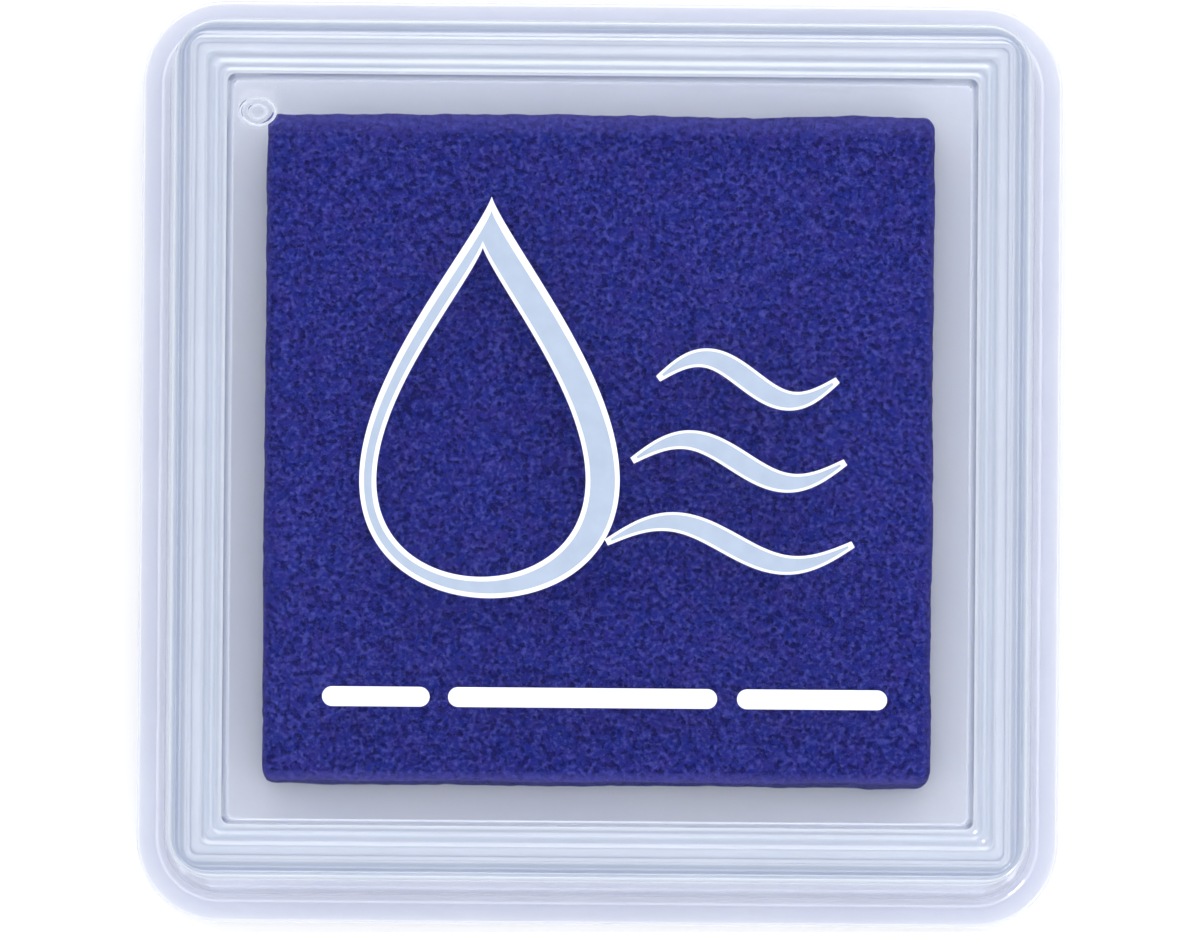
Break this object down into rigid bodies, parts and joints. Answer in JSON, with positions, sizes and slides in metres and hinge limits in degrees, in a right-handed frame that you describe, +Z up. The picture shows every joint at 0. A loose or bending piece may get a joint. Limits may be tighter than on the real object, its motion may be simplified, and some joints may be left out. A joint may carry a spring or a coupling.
{
  "type": "ink pad",
  "caption": "Small square stamping ink pad: raised foam block on a hollow moulded base, under a clear lift-off lid with a sunk printed window and a stacking rim.",
  "frame": {"origin": "middle of the base's foot, on the table", "axes": "+Z up through the foam and the lid's window, +Y towards the top edge of the print, +X to its right"},
  "size_m": [0.033, 0.033, 0.019],
  "materials": {
    "base_plastic": "milky translucent moulded plastic, satin",
    "lid_plastic": "clear glossy moulded plastic with a faint blue-violet cast",
    "inked_foam": "fine open-pored foam soaked in deep violet-blue pigment ink, matt",
    "clear_tape": "double-sided adhesive film",
    "label_paper": "coated paper label, blank apart from a plain colour patch and three plain grey bars",
    "white_ink": "opaque white printing ink",
    "pale_ink": "pale blue second printing ink"
  },
  "bodies": {
    "base": {"base_tray": "base_plastic", "underside_label": "label_paper", "foam_tape": "clear_tape", "ink_foam": "inked_foam"},
    "lid": {"lid_shell": "lid_plastic", "print_drop_white": "white_ink", "print_drop_tint": "pale_ink", "print_wave_upper_white": "white_ink", "print_wave_upper_tint": "pale_ink", "print_wave_middle_white": "white_ink", "print_wave_middle_tint": "pale_ink", "print_wave_lower_white": "white_ink", "print_wave_lower_tint": "pale_ink", "print_rule_left": "white_ink", "print_rule_middle": "white_ink", "print_rule_right": "white_ink"}
  },
  "joints": [
    {"name": "lid_lift", "type": "slide", "parent": "base", "child": "lid", "axis": [0, 0, 1], "range_m": [0, 0.03]}
  ]
}
